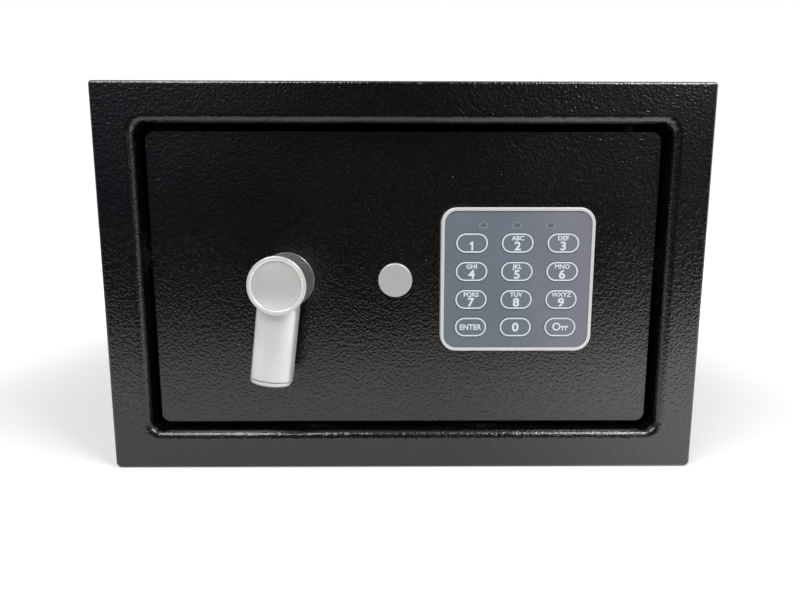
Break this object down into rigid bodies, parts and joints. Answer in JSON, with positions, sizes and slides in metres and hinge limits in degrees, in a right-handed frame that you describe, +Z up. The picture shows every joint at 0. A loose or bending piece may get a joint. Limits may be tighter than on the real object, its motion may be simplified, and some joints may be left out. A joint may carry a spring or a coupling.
{
  "type": "office safe",
  "caption": "Small steel safe with a recessed hinged door, lever handle that throws round bolts, capped emergency lock and a keypad.",
  "frame": {"origin": "centre of the cabinet's bottom face, where it rests", "axes": "+X to the right of someone facing the door, +Y into the safe, +Z up; the door faces -Y"},
  "size_m": [0.31, 0.2205, 0.2],
  "materials": {
    "textured_black_paint": "semi-gloss powder coat with a leather grain",
    "smooth_black_paint": "satin black paint",
    "zinc_plate": "bright zinc plate",
    "bright_steel": "turned bright steel",
    "silver_paint": "satin silver paint",
    "silver_plastic": "silver-painted plastic",
    "grey_overlay": "fine matt film",
    "dark_lens": "dark translucent window",
    "circuit_board": "green lacquer",
    "white_nylon": "moulded nylon",
    "grey_ribbon": "flat cable",
    "black_plastic": "fine spark texture",
    "cell_jacket": "printed shrink film, plain",
    "brass": "nickel-plated brass",
    "copper_winding": "taped winding",
    "black_rubber": "matt",
    "red_plastic": "gloss",
    "grey_felt": "needled felt"
  },
  "bodies": {
    "cabinet": {"body_pan": "textured_black_paint", "top_panel": "textured_black_paint", "back_panel": "textured_black_paint", "front_frame": "textured_black_paint", "hinge_plates": "textured_black_paint", "door_stops": "textured_black_paint", "stop_pads": "black_rubber", "floor_mat": "grey_felt"},
    "door": {"door_plate": "textured_black_paint", "hinge_brackets": "zinc_plate", "hinge_pins": "textured_black_paint", "bolt_guides": "zinc_plate", "lock_case": "smooth_black_paint", "case_nuts": "zinc_plate", "keypad_bezel": "silver_plastic", "keypad_overlay": "grey_overlay", "keypad_board": "circuit_board", "keypad_screws": "zinc_plate", "status_lights": "dark_lens", "ribbon_cable": "grey_ribbon", "control_board": "circuit_board", "board_posts": "white_nylon", "battery_box": "black_plastic", "battery_cells": "cell_jacket", "battery_contacts": "brass", "spindle_bush": "white_nylon", "handle_rosette": "silver_paint", "solenoid_frame": "zinc_plate", "solenoid_coil": "copper_winding", "plunger_spring": "bright_steel", "lock_barrel": "brass", "lock_nut": "zinc_plate"},
    "handle": {"handle_hub": "silver_paint", "hub_insert": "silver_paint", "handle_lever": "silver_paint", "lever_cap": "silver_paint", "spindle": "bright_steel", "retaining_clip": "zinc_plate", "crank": "zinc_plate", "crank_screw": "zinc_plate"},
    "bolt_work": {"bolt_carrier": "zinc_plate", "lock_bolts": "bright_steel"},
    "plunger": {"plunger": "bright_steel"},
    "lock_core": {"lock_plug": "brass", "lock_cam": "zinc_plate"},
    "lock_cap": {"lock_cap": "silver_paint"},
    "battery_lid": {"battery_lid": "black_plastic"},
    "reset_button": {"reset_button": "red_plastic"},
    "key_01": {"key_01": "grey_overlay"},
    "key_02": {"key_02": "grey_overlay"},
    "key_03": {"key_03": "grey_overlay"},
    "key_04": {"key_04": "grey_overlay"},
    "key_05": {"key_05": "grey_overlay"},
    "key_06": {"key_06": "grey_overlay"},
    "key_07": {"key_07": "grey_overlay"},
    "key_08": {"key_08": "grey_overlay"},
    "key_09": {"key_09": "grey_overlay"},
    "key_10": {"key_10": "grey_overlay"},
    "key_11": {"key_11": "grey_overlay"},
    "key_12": {"key_12": "grey_overlay"}
  },
  "joints": [
    {"name": "door_swing", "type": "hinge", "parent": "cabinet", "child": "door", "pos_m": [0.117, -0.0845, 0.1], "axis": [0, 0, 1], "range_deg": [0, 95]},
    {"name": "handle_turn", "type": "hinge", "parent": "door", "child": "handle", "pos_m": [-0.0615, -0.1, 0.101], "axis": [0, 1, 0], "range_deg": [0, 68.46]},
    {"name": "bolt_slide", "type": "slide", "parent": "door", "child": "bolt_work", "axis": [-1, 0, 0], "range_m": [0, 0.018]},
    {"name": "plunger_slide", "type": "slide", "parent": "door", "child": "plunger", "axis": [0, 0, 1], "range_m": [0, 0.005], "deforming": ["plunger_spring"]},
    {"name": "core_turn", "type": "hinge", "parent": "door", "child": "lock_core", "pos_m": [-0.0046, -0.0925, 0.101], "axis": [0, 1, 0], "range_deg": [0, 90]},
    {"name": "cap_pull", "type": "slide", "parent": "door", "child": "lock_cap", "axis": [0, -1, 0], "range_m": [0, 0.02]},
    {"name": "lid_pull", "type": "slide", "parent": "door", "child": "battery_lid", "axis": [0, 1, 0], "range_m": [0, 0.02]},
    {"name": "reset_press", "type": "slide", "parent": "door", "child": "reset_button", "axis": [0, -1, 0], "range_m": [0, 0.0005], "stiffness_N_per_m": 500},
    {"name": "key_01_press", "type": "slide", "parent": "door", "child": "key_01", "axis": [0, 1, 0], "range_m": [0, 0.0004], "stiffness_N_per_m": 500},
    {"name": "key_02_press", "type": "slide", "parent": "door", "child": "key_02", "axis": [0, 1, 0], "range_m": [0, 0.0004], "stiffness_N_per_m": 500},
    {"name": "key_03_press", "type": "slide", "parent": "door", "child": "key_03", "axis": [0, 1, 0], "range_m": [0, 0.0004], "stiffness_N_per_m": 500},
    {"name": "key_04_press", "type": "slide", "parent": "door", "child": "key_04", "axis": [0, 1, 0], "range_m": [0, 0.0004], "stiffness_N_per_m": 500},
    {"name": "key_05_press", "type": "slide", "parent": "door", "child": "key_05", "axis": [0, 1, 0], "range_m": [0, 0.0004], "stiffness_N_per_m": 500},
    {"name": "key_06_press", "type": "slide", "parent": "door", "child": "key_06", "axis": [0, 1, 0], "range_m": [0, 0.0004], "stiffness_N_per_m": 500},
    {"name": "key_07_press", "type": "slide", "parent": "door", "child": "key_07", "axis": [0, 1, 0], "range_m": [0, 0.0004], "stiffness_N_per_m": 500},
    {"name": "key_08_press", "type": "slide", "parent": "door", "child": "key_08", "axis": [0, 1, 0], "range_m": [0, 0.0004], "stiffness_N_per_m": 500},
    {"name": "key_09_press", "type": "slide", "parent": "door", "child": "key_09", "axis": [0, 1, 0], "range_m": [0, 0.0004], "stiffness_N_per_m": 500},
    {"name": "key_10_press", "type": "slide", "parent": "door", "child": "key_10", "axis": [0, 1, 0], "range_m": [0, 0.0004], "stiffness_N_per_m": 500},
    {"name": "key_11_press", "type": "slide", "parent": "door", "child": "key_11", "axis": [0, 1, 0], "range_m": [0, 0.0004], "stiffness_N_per_m": 500},
    {"name": "key_12_press", "type": "slide", "parent": "door", "child": "key_12", "axis": [0, 1, 0], "range_m": [0, 0.0004], "stiffness_N_per_m": 500}
  ],
  "couplings": [
    {"joint": "bolt_slide", "follows": "handle_turn", "m_per_rad": 0.015065}
  ]
}
